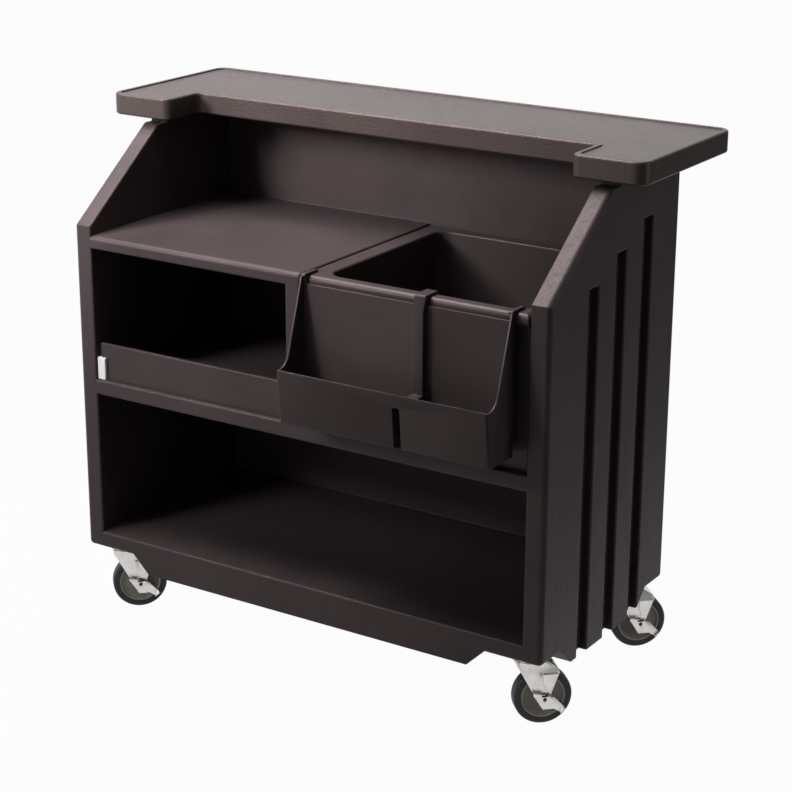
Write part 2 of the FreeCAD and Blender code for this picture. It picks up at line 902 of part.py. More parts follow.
def speed_rail():
    """Two-pocket bottle trough with end cheeks and hooks that sit over the bin's front rim."""
    body = new_body("speed_rail")
    rear = bin_rim_front - s.rail_gap
    wall = rear - s.rail_wall
    lip = front - s.rail_reach
    foot = lip + s.rail_lean
    crest = front - s.cheek_crest_reach
    hook_under = s.deck_height + s.seat_gap
    hook_top = hook_under + s.hook_thick
    above = hook_top + s.overrun
    right = s.rail_left + s.rail_length
    profile = [
        (rear, s.rail_bottom),
        (foot, s.rail_bottom),
        (lip, s.rail_top, s.cheek_curve, 1),
        (front - s.cheek_knee_reach, s.rail_top + s.cheek_knee_rise),
        (crest, hook_under),
        (crest, hook_top),
        (rear, hook_top),
    ]
    pad(body, outline(body, "YZ_Plane", profile, s.rail_left), s.rail_length)
    first_start = s.rail_left + s.rail_wall
    first_end = first_start + s.rail_first_pocket
    slot_start = first_end + s.rail_wall
    slot_end = slot_start + s.slot_width
    second_start = slot_end + s.rail_wall
    second_end = right - s.rail_wall
    floor = s.rail_bottom + s.rail_wall
    hollow = [
        (wall, floor),
        (foot + s.rail_wall, floor),
        (lip + s.rail_wall, s.rail_top),
        (lip + s.rail_wall, above),
        (wall, above),
    ]
    for start, end in ((first_start, first_end), (second_start, second_end)):
        pocket(body, outline(body, "YZ_Plane", hollow, start), end - start)
    slot_top = s.rail_top - s.slot_drop
    back_top = s.deck_height - s.rail_back_drop
    through = (crest - s.overrun, rear + s.overrun)
    block(body, "Subtractive", (s.rail_left + s.hook_width, first_end), through, (back_top, above))
    block(body, "Subtractive", (second_start, right - s.hook_width), through, (back_top, above))
    mid_front = (lip + s.rail_wall, rear - s.mid_rib_depth)
    block(body, "Subtractive", (first_end, second_start), mid_front, (slot_top + s.rail_wall, above))
    slot_y = (lip - s.overrun, wall)
    block(body, "Subtractive", (slot_start, slot_end), slot_y, (s.rail_bottom - s.overrun, slot_top))
    hook_lip = bin_inside_front + s.seat_gap * 2
    hook_back = hook_lip + s.hook_thick
    middle_hook = (first_end, second_start)
    end_hooks = ((s.rail_left, s.rail_left + s.hook_width), (right - s.hook_width, right))
    for span in (middle_hook, *end_hooks):
        block(body, "Additive", span, (crest, hook_back), (hook_under, hook_top))
    block(body, "Additive", middle_hook, (hook_lip, hook_back), (s.deck_height - s.hook_lip, hook_top))

    def slot_crown(edge):
        return flat(edge, "z", slot_top) and (flat(edge, "x", slot_start) or flat(edge, "x", slot_end))

    def trough_corner(edge):
        box = edge.BoundBox
        ends = flat(edge, "x", s.rail_left) or flat(edge, "x", right)
        rises = near(box.ZMin, s.rail_bottom) and near(box.ZMax, s.rail_top)
        return (ends and rises) or (flat(edge, "z", s.rail_bottom) and flat(edge, "y", foot))

    def hook_corner(edge):
        return flat(edge, "z", hook_top) and (flat(edge, "y", crest) or flat(edge, "y", hook_back))

    round_edges(body, s.slot_round, slot_crown)
    round_edges(body, s.rail_corner, trough_corner)
    round_edges(body, s.hook_thick - s.seat_gap, hook_corner)


def bottle_fence():
    body = new_body("bottle_fence")
    ends = (-inner_x + s.guide_web + s.seat_gap, divider_left - s.guide_web - s.seat_gap)
    foot = s.shelf_top + s.seat_gap
    block(body, "Additive", ends, (fence_front, fence_front + s.fence_thick), (foot, foot + s.fence_height))
    top = foot + s.fence_height

    def long_edge(edge):
        return flat(edge, "z", top) and edge.BoundBox.YLength < SIZES["match"]

    round_edges(body, s.fence_round, long_edge)
    guides = []
    screws = []
    bite = s.guide_web - s.guide_screw_head_thick + s.guide_screw_bite
    for wall, sign in ((-inner_x, 1), (divider_left, -1)):
        guides.append(fence_guide(wall, sign))
        for share in GUIDE_SCREW_SHARES:
            item = bolt(s.guide_screw_r, bite, s.guide_screw_head_r, s.guide_screw_head_thick, cylinder)
            aim(item, ALONG_Y, -QUARTER_TURN * sign)
            seat = wall + (s.guide_web - s.guide_screw_head_thick) * sign
            place(item, seat, fence_middle, s.shelf_top + s.guide_height * share)
            screws.append(item)
    group("fence_guides", guides)
    group("fence_guide_screws", screws)


def fence_guide(wall, sign):
    """A block on the wall with an open slot for the fence's end."""
    guide = new_body()
    span = sorted((wall, wall + s.guide_width * sign), key=number)
    slot = sorted((wall + s.guide_web * sign, wall + (s.guide_width + s.overrun) * sign), key=number)
    near_y = front + s.guide_setback
    top = s.shelf_top + s.guide_height
    block(guide, "Additive", span, (near_y, near_y + s.guide_depth), (s.shelf_top, top))
    round_edges(guide, s.guide_round, lambda edge: flat(edge, "y", near_y))
    slot_y = (fence_front - s.seat_gap, fence_front + s.fence_thick + s.seat_gap)
    block(guide, "Subtractive", slot, slot_y, (s.shelf_top - s.overrun, top + s.overrun))
    spots = [(fence_middle, s.shelf_top + s.guide_height * share) for share in GUIDE_SCREW_SHARES]
    through = circles(guide, "YZ_Plane", spots, s.guide_screw_r + s.bolt_gap, wall - s.guide_web)
    pocket(guide, through, s.guide_web * 2)
    face = wall + s.guide_web * sign
    seat = face - s.guide_screw_head_thick * sign
    sunk = circles(guide, "YZ_Plane", spots, s.guide_screw_head_r + s.bolt_gap, min(face, seat, key=number))
    pocket(guide, sunk, s.guide_screw_head_thick)
    return guide


def casters():
    bolts = []
    for name, x, y in caster_places():
        for piece in CASTER_PIECES:
            item = keep(piece(), "%s_caster_%s" % (name, piece.__name__))
            if piece is not top_plate:
                aim(item, ALONG_Z, number(s.caster_turn_deg))
                item.setExpression("Placement.Rotation.Angle", formula(s.caster_turn_deg))
            place(item, x, y)
        for dx, dy in plate_corners():
            length = s.plate_thick + s.plate_bolt_bite
            item = bolt(s.plate_bolt_r, length, s.plate_bolt_head_r, s.plate_bolt_head_thick)
            place(item, x + dx, y + dy, plate_under)
            bolts.append(item)
    group("caster_bolts", bolts)


def top_plate():
    body = new_body()
    x = s.plate_length / 2
    y = s.plate_width / 2
    block(body, "Additive", (-x, x), (-y, y), (plate_under, s.corner_bottom))
    round_edges(body, s.plate_corner, upright)
    holes = circles(body, "XY_Plane", plate_corners(), s.plate_bolt_r + s.bolt_gap, plate_under - s.overrun)
    pocket(body, holes, s.plate_thick + s.overrun * 2)
    eye = circles(body, "XY_Plane", [(0, 0)], s.kingpin_r + s.running_gap, plate_under - s.overrun)
    pocket(body, eye, s.plate_thick + s.overrun * 2)
    return body


def kingpin():
    """Rivet that hangs the fork from the plate."""
    body = new_body()
    head_top = crown_under - s.fork_gap
    head_under = head_top - s.kingpin_head_thick
    rivet = [
        (0, head_under),
        (s.kingpin_head_r, head_under),
        (s.kingpin_head_r, head_top),
        (s.kingpin_r, head_top),
        (s.kingpin_r, s.corner_bottom),
        (0, s.corner_bottom),
    ]
    turned(body, outline(body, "XZ_Plane", rivet), "V_Axis")
    return body


def swivel_race():
    """Dished ball race between the plate and the fork's crown."""
    body = new_body()
    inside = s.kingpin_r + s.running_gap
    ring = [(inside, race_under), (s.race_r, race_under), (s.race_r, plate_under), (inside, plate_under)]
    turned(body, outline(body, "XZ_Plane", ring), "V_Axis")

    def outer_edge(edge):
        return flat(edge, "z", race_under) and edge.BoundBox.XLength > number(s.race_r)

    round_edges(body, s.race_round, outer_edge)
    return body


def fork():
    """Pressed fork with a flat crown, a sloping back and two tapering legs."""
    body = new_body()
    side = [
        (-s.crown_front, crown_top),
        (s.crown_rear, crown_top),
        (s.fork_rear_top_x, s.fork_rear_top_z),
        (s.fork_rear_x, s.fork_rear_z),
        (s.fork_waist_rear, s.fork_waist_z),
        (s.trail + s.fork_boss_r, s.wheel_r, s.fork_boss_r, -1),
        (s.trail, s.wheel_r - s.fork_boss_r, s.fork_boss_r, -1),
        (s.trail - s.fork_boss_r, s.wheel_r),
        (s.fork_waist_front, s.fork_waist_z),
        (-s.fork_throat_x, s.fork_throat_z),
        (-s.crown_front, s.fork_front_z),
    ]
    pad(body, outline(body, "XZ_Plane", side, -leg_outside), leg_outside * 2)
    far_front = -s.crown_front - s.overrun
    far_rear = s.fork_rear_x + s.overrun
    rear_under = s.fork_rear_top_z - s.fork_thick
    hollow = [
        (far_front, crown_under),
        (s.crown_rear - s.leg_thick, crown_under),
        (s.fork_rear_top_x, rear_under),
        (far_rear, rear_under),
        (far_rear, 0),
        (far_front, 0),
    ]
    pocket(body, outline(body, "XZ_Plane", hollow, -s.leg_inside_half), s.leg_inside_half * 2)
    crown = body.newObject("PartDesign::AdditiveCylinder", "Crown")
    crown.setExpression("Radius", formula(s.race_r))
    crown.setExpression("Height", formula(s.fork_thick))
    place(crown, 0, 0, crown_under)
    rib_x = (s.trail - s.fork_boss_r, s.trail - s.fork_boss_r + s.rib_width)
    rib_z = (s.fork_waist_z, s.fork_throat_z)
    block(body, "Additive", rib_x, (-leg_outside - s.rib_rise, -leg_outside), rib_z)
    block(body, "Additive", rib_x, (leg_outside, leg_outside + s.rib_rise), rib_z)
    eye = circles(body, "XY_Plane", [(0, 0)], s.kingpin_r + s.running_gap, crown_under - s.overrun)
    pocket(body, eye, s.fork_thick + s.overrun * 2)
    spots = [(s.trail, s.wheel_r)]
    holes = circles(body, "XZ_Plane", spots, s.axle_r + s.running_gap, -leg_outside - s.overrun)
    pocket(body, holes, leg_outside * 2 + s.overrun * 2)
    return body


def spun(points):
    """A piece turned about the axle, from points along the axle and out from it."""
    body = new_body()
    sketch = outline(body, "YZ_Plane", points, s.trail, (0, s.wheel_r))
    turned(body, sketch, "H_Axis")
    return body


def axle():
    """Shouldered axle with a stub that carries the brake lever."""
    head = leg_outside + s.axle_head_thick
    end = leg_outside + s.axle_nut_thick + s.axle_end
    return spun([
        (-brake_outside, 0),
        (-brake_outside, s.brake_pin_r),
        (-head, s.brake_pin_r),
        (-head, s.axle_head_r),
        (-leg_outside, s.axle_head_r),
        (-leg_outside, s.axle_r),
        (end, s.axle_r),
        (end, 0),
    ])


def axle_nut():
    nut = hexagon(s.axle_nut_r, s.axle_nut_thick)
    bore = cylinder(s.axle_r + s.running_gap, s.axle_nut_thick + s.overrun * 2)
    for item, start in ((nut, leg_outside), (bore, leg_outside - s.overrun)):
        aim(item, ALONG_X, -QUARTER_TURN)
        place(item, s.trail, start, s.wheel_r)
    return join("Cut", nut, bore)


def hub():
    rim_inside = s.hub_r - s.hub_lip
    half = [
        (s.hub_boss_half, s.bushing_r),
        (s.hub_boss_half, s.hub_boss_r),
        (s.hub_web_half, s.hub_boss_r),
        (s.hub_web_half, rim_inside),
        (s.hub_rim_half, rim_inside),
        (s.hub_rim_half, s.hub_r),
    ]
    return spun([(-y, r) for y, r in half] + [(y, r) for y, r in reversed(half)])


def tread():
    half = s.tread_width / 2
    shoulder = s.wheel_r - s.tread_round
    return spun([
        (-half, s.hub_r),
        (-half, shoulder, s.tread_round, -1),
        (s.tread_round - half, s.wheel_r),
        (half - s.tread_round, s.wheel_r, s.tread_round, -1),
        (half, shoulder),
        (half, s.hub_r),
    ])


def bushing():
    half = s.leg_inside_half - s.bushing_gap
    inside = s.axle_r + s.running_gap
    return spun([(-half, inside), (-half, s.bushing_r), (half, s.bushing_r), (half, inside)])


def brake_lever():
    """See-saw brake lever on the axle's stub, with a foot pad at each end."""
    body = new_body()
    tip_low = -s.brake_tip_z - s.brake_tip_width * TIP_SLANT_SHARE
    plate = [
        (-s.brake_tab_x, s.brake_tab_z),
        (-s.brake_tab_x * BRAKE_NECK_SHARE, s.brake_tab_z * BRAKE_SHOULDER_SHARE),
        (s.brake_waist_x, s.brake_tab_z * BRAKE_NECK_SHARE),
        (s.brake_tip_x, -s.brake_tip_z),
        (s.brake_tip_x - s.brake_tip_width, tip_low),
        (s.brake_waist_x, -s.brake_belly),
        (-s.brake_waist_x * BRAKE_NECK_SHARE, -s.brake_belly),
        (-s.brake_tab_x * BRAKE_FLANK_SHARE, -s.brake_tab_z * BRAKE_NECK_SHARE),
        (-s.brake_tab_x, s.brake_tab_z * BRAKE_SHOULDER_SHARE),
    ]
    hang = (s.trail, s.wheel_r)
    pad(body, outline(body, "XZ_Plane", plate, brake_inside, hang), s.brake_thick)
    for corners, reach in (((3, 4, 5, 2), s.brake_foot), ((0, 8, 7, 1), s.brake_foot * BRAKE_TAB_SHARE)):
        first, second, after, before = (plate[index] for index in corners)
        pad_loop = [first, second, between(second, after), between(first, before)]
        pad(body, outline(body, "XZ_Plane", pad_loop, brake_inside, hang), reach)
    eye = sketch_on(body, "XZ_Plane", brake_inside - s.overrun, hang)
    bore = s.brake_pin_r + s.running_gap
    ring = eye.addGeometry(Part.Circle(FreeCAD.Vector(), ALONG_Z, number(bore)), False)
    fix(eye, Sketcher.Constraint("Radius", ring, number(bore)), bore)
    eye.addConstraint(Sketcher.Constraint("Coincident", ring, 3, -1, 1))
    pocket(body, eye, s.brake_thick + s.overrun * 2)
    half = s.brake_slot_length / 2
    low = s.wheel_r + s.brake_slot_rise
    slot_y = (-brake_outside - s.overrun, -brake_inside + s.overrun)
    block(body, "Subtractive", (s.trail - half, s.trail + half), slot_y, (low, low + s.brake_slot_height))
    return body


def between(start, end):
    """A point a little way from start towards end."""
    return tuple(a + (b - a) * BRAKE_PAD_SHARE for a, b in zip(start, end))


CASTER_PIECES = (top_plate, kingpin, swivel_race, fork, axle, axle_nut, hub, tread, bushing, brake_lever)
for build in (body_shell, bar_top, ice_bin, drain, speed_rail, bottle_fence, casters):
    build()
doc.recompute()
for item in doc.Objects:
    if "Invalid" in item.State or "Error" in item.State:
        raise RuntimeError("%s failed: %s" % (item.Label, item.State))
for item in nodes:
    if item.Shape.isNull() or not item.Shape.isValid():
        raise RuntimeError("%s has no valid shape" % item.Label)
os.makedirs("parts", exist_ok=True)
for item in nodes:
    item.Shape.exportStep("parts/%s.step" % item.Label)
    print("%s: %d solids, %d cubic millimetres" % (item.Label, len(item.Shape.Solids), item.Shape.Volume))
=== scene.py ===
# %% [markdown]
# # A portable bar on casters
# This lesson dresses a finished construction of a moulded portable bar. The construction gives every shape
# its true size and place, in metres, and here it gets the looks: plastic, zinc, rubber, light and a camera.

# %% Load the construction
import json
import math

import bmesh
import bpy
from mathutils import Matrix, Vector


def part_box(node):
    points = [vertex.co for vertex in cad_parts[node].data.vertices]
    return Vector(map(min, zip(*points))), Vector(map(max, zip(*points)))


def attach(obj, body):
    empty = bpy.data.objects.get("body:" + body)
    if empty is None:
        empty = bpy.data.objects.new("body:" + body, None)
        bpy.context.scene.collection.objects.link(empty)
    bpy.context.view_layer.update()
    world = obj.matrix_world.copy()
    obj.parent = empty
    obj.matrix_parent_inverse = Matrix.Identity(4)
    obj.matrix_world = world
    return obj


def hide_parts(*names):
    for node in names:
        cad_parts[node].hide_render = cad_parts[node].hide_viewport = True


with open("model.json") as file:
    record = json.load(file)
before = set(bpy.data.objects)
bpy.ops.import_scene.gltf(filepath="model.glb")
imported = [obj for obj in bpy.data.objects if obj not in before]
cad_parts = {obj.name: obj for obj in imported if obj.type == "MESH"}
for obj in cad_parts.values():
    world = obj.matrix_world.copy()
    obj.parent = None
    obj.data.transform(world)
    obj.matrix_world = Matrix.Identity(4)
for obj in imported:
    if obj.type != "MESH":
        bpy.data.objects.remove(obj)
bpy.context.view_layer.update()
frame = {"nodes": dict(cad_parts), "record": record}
nodes = frame["nodes"]

# %% [markdown]
# ## Finishes
# Most of the bar is one dark brown plastic, moulded in a tool with a pebble grain. The grain, the soft edges
# and the cloudy tone are needed in several finishes, so each becomes a node group with named sockets. A group
# is built once and can then be placed in any material with its own numbers.

# %% Helpers for nodes
def new_group(name, inputs, outputs):
    """An empty shader group with number inputs and outputs, and its two end nodes."""
    group = bpy.data.node_groups.new(name, "ShaderNodeTree")
    for socket, value in inputs.items():
        made = group.interface.new_socket(socket, in_out="INPUT", socket_type="NodeSocketFloat")
        made.default_value = value
    for socket, kind in outputs.items():
        group.interface.new_socket(socket, in_out="OUTPUT", socket_type=kind)
    return group, group.nodes.new("NodeGroupInput"), group.nodes.new("NodeGroupOutput")


def add(tree, kind, **settings):
    """Adds a node and sets its properties, or the values of its inputs where the name is a socket's."""
    node = tree.nodes.new(kind)
    for name, value in settings.items():
        socket = name.replace("_", " ").title()
        if hasattr(node, name):
            setattr(node, name, value)
        else:
            node.inputs[socket].default_value = value
    return node


def add_range(tree, low, high, start_value=0.0, end_value=1.0):
    """Adds a Map Range node that turns low to high into start_value to end_value."""
    return add(
        tree, "ShaderNodeMapRange", from_min=low, from_max=high, to_min=start_value, to_max=end_value
    )


def link(tree, start, start_socket, end, end_socket):
    tree.links.new(start.outputs[start_socket], end.inputs[end_socket])


print("helpers for groups, nodes, ranges and links")

# %% [markdown]
# The pebble grain could be a picture, but a picture repeats and blurs when the camera comes close. A Voronoi
# texture doesn't: its cells look like the small bumps of a textured mould, and some noise over it makes no
# two bumps alike. It reads Object coordinates, so its size is in metres.

# %% Pebble grain
cell_share = 0.7
grain, start, end = new_group("pebble grain", {"Bumps per metre": 420.0}, {"Height": "NodeSocketFloat"})
place = add(grain, "ShaderNodeTexCoord")
cells = add(grain, "ShaderNodeTexVoronoi", feature="SMOOTH_F1", smoothness=0.6, randomness=1.0)
wander = add(grain, "ShaderNodeTexNoise", detail=3.0, roughness=0.6)
mix = add(grain, "ShaderNodeMath", operation="MULTIPLY_ADD")
mix.inputs[1].default_value = cell_share
link(grain, place, "Object", cells, "Vector")
link(grain, place, "Object", wander, "Vector")
link(grain, start, "Bumps per metre", cells, "Scale")
link(grain, start, "Bumps per metre", wander, "Scale")
link(grain, cells, "Distance", mix, 0)
link(grain, wander, "Fac", mix, 2)
link(grain, mix, "Value", end, "Height")
print("made group", grain.name)

# %% [markdown]
# Moulded plastic has no knife edges. A Bevel node looks at the neighbouring faces and gives a rounded normal
# near each edge. The dot product of that normal and the true one also tells where an edge is, and that mask
# serves for a paler tone along edges, partly the wear of handling and partly a painted highlight for the
# light that rounded edges catch.

# %% Soft edges
flat_product, edge_product = 0.99, 0.8
soft_edge, start, end = new_group(
    "soft edge", {"Radius": 0.003}, {"Normal": "NodeSocketVector", "Edge": "NodeSocketFloat"}
)
rounded = add(soft_edge, "ShaderNodeBevel", samples=6)
true_face = add(soft_edge, "ShaderNodeNewGeometry")
turn = add(soft_edge, "ShaderNodeVectorMath", operation="DOT_PRODUCT")
edge_mask = add_range(soft_edge, flat_product, edge_product)
link(soft_edge, start, "Radius", rounded, "Radius")
link(soft_edge, rounded, "Normal", turn, 0)
link(soft_edge, true_face, "Normal", turn, 1)
link(soft_edge, turn, "Value", edge_mask, "Value")
link(soft_edge, rounded, "Normal", end, "Normal")
link(soft_edge, edge_mask, "Result", end, "Edge")
print("made group", soft_edge.name)

# %% [markdown]
# Large mouldings are never one even tone: the colour drifts a little over a hand's width, and cleaning leaves
# fine rubbed streaks. Two noises of different scale give both as masks from zero to one. The streaks are a
# noise that a Mapping node squeezes sideways, so that they run up and down.

# %% Cloudy tone
streaks_per_metre = (90.0, 90.0, 14.0)
cloud_from, cloud_to = 0.3, 0.7
rubbed_from, rubbed_to = 0.5, 0.75
cloudy, start, end = new_group(
    "cloudy tone", {"Patches per metre": 5.0}, {"Cloud": "NodeSocketFloat", "Rubbed": "NodeSocketFloat"}
)
place = add(cloudy, "ShaderNodeTexCoord")
patch = add(cloudy, "ShaderNodeTexNoise", detail=4.0, roughness=0.55)
stretch = add(cloudy, "ShaderNodeMapping")
stretch.inputs["Scale"].default_value = streaks_per_metre
streak = add(cloudy, "ShaderNodeTexNoise", scale=1.0, detail=5.0, roughness=0.7)
even = add_range(cloudy, cloud_from, cloud_to)
sharp = add_range(cloudy, rubbed_from, rubbed_to)
link(cloudy, place, "Object", patch, "Vector")
link(cloudy, start, "Patches per metre", patch, "Scale")
link(cloudy, place, "Object", stretch, "Vector")
link(cloudy, stretch, "Vector", streak, "Vector")
link(cloudy, patch, "Fac", even, "Value")
link(cloudy, streak, "Fac", sharp, "Value")
link(cloudy, even, "Result", end, "Cloud")
link(cloudy, sharp, "Result", end, "Rubbed")
print("made group", cloudy.name)

# %% [markdown]
# ### One recipe for all finishes
# Each finish mixes a dark and a light tone by the cloud, turns paler at the edges, partly as wear and partly
# as a painted highlight, and varies its roughness by the rubbed streaks. The grain goes into a Bump node,
# which takes the rounded normal as its start. What is the same all over a surface, such as its metal share,
# its gloss and the tint of that gloss, is set on the shader. A Mix node has sockets for numbers, vectors and
# colours, so its colour sockets are told by number.

# %% A finish from the three groups
first_colour, second_colour, mixed_colour = 6, 7, 2
bump_strength = 0.6


def place_group(tree, group, values):
    node = tree.nodes.new("ShaderNodeGroup")
    node.node_tree = group
    for socket, value in values.items():
        node.inputs[socket].default_value = value
    return node


def mix_colours(tree, first, second):
    node = add(tree, "ShaderNodeMix", data_type="RGBA")
    node.inputs[first_colour].default_value = (*first, 1.0)
    node.inputs[second_colour].default_value = (*second, 1.0)
    return node


def grained_finish(
    name, dark, light, edge, rough, bumps=420.0, depth=0.0003, radius=0.003, patches=5.0, metal=0.0,
    gloss=0.35, sheen=(1.0, 1.0, 1.0)
):
    """A material whose tone, edges, roughness and grain all vary over the surface."""
    material = bpy.data.materials.new(name)
    material.use_nodes = True
    tree = material.node_tree
    shader = tree.nodes["Principled BSDF"]
    shader.inputs["Metallic"].default_value = metal
    shader.inputs["Specular IOR Level"].default_value = gloss
    shader.inputs["Specular Tint"].default_value = (*sheen, 1.0)
    tone = place_group(tree, cloudy, {"Patches per metre": patches})
    corner = place_group(tree, soft_edge, {"Radius": radius})
    pebble = place_group(tree, grain, {"Bumps per metre": bumps})
    body = mix_colours(tree, dark, light)
    # the paler edge tone is partly wear and partly a painted highlight along rounded edges
    edge_wear_and_highlight = mix_colours(tree, dark, edge)
    polish = add_range(tree, 0.0, 1.0, *rough)
    bump = add(tree, "ShaderNodeBump", strength=bump_strength, distance=depth)
    link(tree, tone, "Cloud", body, "Factor")
    link(tree, body, mixed_colour, edge_wear_and_highlight, first_colour)
    link(tree, corner, "Edge", edge_wear_and_highlight, "Factor")
    link(tree, edge_wear_and_highlight, mixed_colour, shader, "Base Color")
    link(tree, tone, "Rubbed", polish, "Value")
    link(tree, polish, "Result", shader, "Roughness")
    link(tree, pebble, "Height", bump, "Height")
    link(tree, corner, "Normal", bump, "Normal")
    link(tree, bump, "Normal", shader, "Normal")
    return material


print("recipe from the groups", [group.name for group in (cloudy, soft_edge, grain)])

# %% [markdown]
# ### Brown plastics
# The body, the top, the bin and the rail are the same brown, but not the same surface. The body and the top
# have a coarse grain, the bin and the rail are smoother, and the thin rail is a little darker, with paler
# edges that are partly wear and partly a painted highlight. The brown's shine is slightly warm, and a tint of
# the gloss gives that without changing the brown.

# %% Brown plastics
# the edge tone below is partly wear and partly a painted highlight on rounded edges
brown_dark = (0.036, 0.0272, 0.0282)
brown_light = (0.052, 0.0395, 0.0405)
brown_edge_wear_and_highlight = (0.088, 0.070, 0.070)
warm = (1.0, 0.78, 0.80)
warm_top = (1.0, 0.76, 0.64)
finishes = {
    "body_plastic": grained_finish(
        "moulded brown", brown_dark, brown_light, brown_edge_wear_and_highlight, (0.44, 0.56),
        bumps=240.0, depth=0.0006, gloss=0.24, sheen=warm
    ),
    "top_plastic": grained_finish(
        "moulded brown top", brown_dark, brown_light, brown_edge_wear_and_highlight, (0.36, 0.46),
        bumps=240.0, depth=0.0008, radius=0.001, gloss=0.36, sheen=warm_top
    ),
    "bin_plastic": grained_finish(
        "smooth brown", brown_dark, brown_light, brown_edge_wear_and_highlight, (0.38, 0.48),
        depth=0.00015, gloss=0.24, sheen=warm
    ),
    # the rail's much paler edge tone is a painted highlight on its thin rounded lips, with some wear
    "rail_plastic": grained_finish(
        "thin brown", (0.034, 0.0255, 0.0265), (0.047, 0.0355, 0.0365), (0.17, 0.145, 0.14), (0.40, 0.50),
        depth=0.00015, radius=0.002, gloss=0.18, sheen=warm
    ),
}
print("brown plastics", list(finishes))

# %% [markdown]
# ### Other plastics and rubber
# The small pieces come from the same recipe, because only its numbers change: most have a shallower grain,
# all have tighter edges, and on the wheels the patches are closer together.

# %% Other plastics and rubber
finishes.update({
    "guide_plastic": grained_finish(
        "white guide", (0.74, 0.72, 0.71), (0.82, 0.80, 0.79), (0.86, 0.84, 0.83), (0.40, 0.55),
        depth=0.0001, radius=0.001
    ),
    "drain_plastic": grained_finish(
        "black drain", (0.016, 0.016, 0.017), (0.024, 0.024, 0.025), (0.05, 0.05, 0.05), (0.30, 0.42),
        depth=0.0001, radius=0.001
    ),
    "gasket_rubber": grained_finish(
        "gasket rubber", (0.012, 0.012, 0.012), (0.020, 0.020, 0.020), (0.03, 0.03, 0.03), (0.70, 0.85),
        radius=0.0005
    ),
    "tread_rubber": grained_finish(
        "tread rubber", (0.036, 0.036, 0.040), (0.054, 0.054, 0.059), (0.09, 0.09, 0.096), (0.45, 0.62),
        bumps=900.0, radius=0.001, patches=30.0
    ),
    "hub_plastic": grained_finish(
        "hub plastic", (0.36, 0.33, 0.28), (0.44, 0.41, 0.35), (0.54, 0.51, 0.46), (0.42, 0.55),
        depth=0.0001, radius=0.0015, patches=30.0
    ),
})
print("finishes so far", len(finishes))

# %% [markdown]
# ### Metals
# The casters are zinc plate, nearly all metal with a little of the dull bloom that plating gets. The valve
# and the fasteners are bright metal, and the wheels turn on brass bushings. The axles get a near-black steel
# as painted shade, so that the slot in each brake lever, with an axle head behind it, looks like a hole in
# shadow.

# %% Metals
finishes.update({
    "bushing_brass": grained_finish(
        "bushing brass", (0.55, 0.38, 0.16), (0.64, 0.46, 0.22), (0.7, 0.55, 0.3), (0.25, 0.4),
        depth=0.00003, radius=0.0005, patches=60.0, metal=1.0
    ),
    "valve_metal": grained_finish(
        "valve metal", (0.62, 0.62, 0.63), (0.70, 0.70, 0.71), (0.8, 0.8, 0.8), (0.15, 0.3),
        depth=0.00003, radius=0.0005, patches=40.0, metal=1.0
    ),
    "caster_metal": grained_finish(
        "zinc plate", (0.76, 0.74, 0.71), (0.90, 0.88, 0.85), (0.96, 0.94, 0.92), (0.28, 0.46),
        bumps=700.0, depth=0.00004, radius=0.001, patches=60.0, metal=0.9
    ),
})
finishes["brake_metal"] = finishes["caster_metal"]
finishes["fastener_steel"] = finishes["valve_metal"]
# near-black axles: painted shade for the brake levers' slots, where the axle heads show through
axle_painted_shade = grained_finish(
    "axle painted shade", (0.020, 0.019, 0.019), (0.034, 0.032, 0.031), (0.09, 0.088, 0.085), (0.32, 0.48),
    depth=0.00003, radius=0.0005, patches=60.0
)
print("finishes for", len(finishes), "slots, and", axle_painted_shade.name)

# %% [markdown]
# The construction names a material slot for every piece. Each slot's finish goes onto its pieces, and only
# the axles and their nuts differ from their slot: they get the near-black painted shade that darkens the
# brake levers' slots.

# %% Finishes onto the construction
slot_of = {part["node"]: part["material_slot"] for part in frame["record"]["subparts"]}
for node, slot in slot_of.items():
    is_axle = node.endswith(("_axle", "_axle_nut"))
    nodes[node].material_slots[0].material = axle_painted_shade if is_axle else finishes[slot]
print("dressed", len(slot_of), "nodes from", len(set(slot_of.values())), "slots")

# %% [markdown]
# ## Caster wheels
# The bar rolls on four casters, which are all alike. The construction's wheels are plain rings, and a real
# one has a moulded tyre with a parting line and a hub with raised rings. Both are turned shapes. They could
# be spun from an outline, but a cylinder is the shorter way: its two ends are inset again and again, each
# time a little deeper or higher, as a lathe would cut them. One wheel is made at the origin, with its axle
# along Z, and copied to the four corners at the end.

# %% Helpers for modelling
hair = 0.0001
double_gap = 0.00001
smooth_degrees = 35.0
mostly, wholly = 0.9, 0.999


def clear_selection():
    if bpy.context.object and bpy.context.object.mode != "OBJECT":
        bpy.ops.object.mode_set(mode="OBJECT")
    bpy.ops.object.select_all(action="DESELECT")


def pick(kind, test):
    """In edit mode, selects edges by their middle and direction, or faces by their centre and normal."""
    mesh = bmesh.from_edit_mesh(bpy.context.object.data)
    bpy.ops.mesh.select_mode(type={"edges": "EDGE", "faces": "FACE"}[kind])
    bpy.ops.mesh.select_all(action="DESELECT")
    for item in getattr(mesh, kind):
        if kind == "faces":
            passed = test(item.calc_center_median(), item.normal)
        else:
            first, last = (corner.co for corner in item.verts)
            passed = test((first + last) / 2, last - first)
        item.select_set(passed)
    bmesh.update_edit_mesh(bpy.context.object.data)


def out_from_axle(point):
    return math.hypot(point.x, point.y)


def is_end_face(at, out):
    return abs(out.z) > mostly


def finish_solid():
    """Merges doubles, turns the faces outwards, leaves edit mode and smooths all but the sharp edges."""
    bpy.ops.mesh.select_all(action="SELECT")
    bpy.ops.mesh.remove_doubles(threshold=double_gap)
    bpy.ops.mesh.normals_make_consistent(inside=False)
    bpy.ops.object.mode_set(mode="OBJECT")
    bpy.ops.object.shade_smooth_by_angle(angle=math.radians(smooth_degrees))


print("helpers for selecting and finishing a mesh")

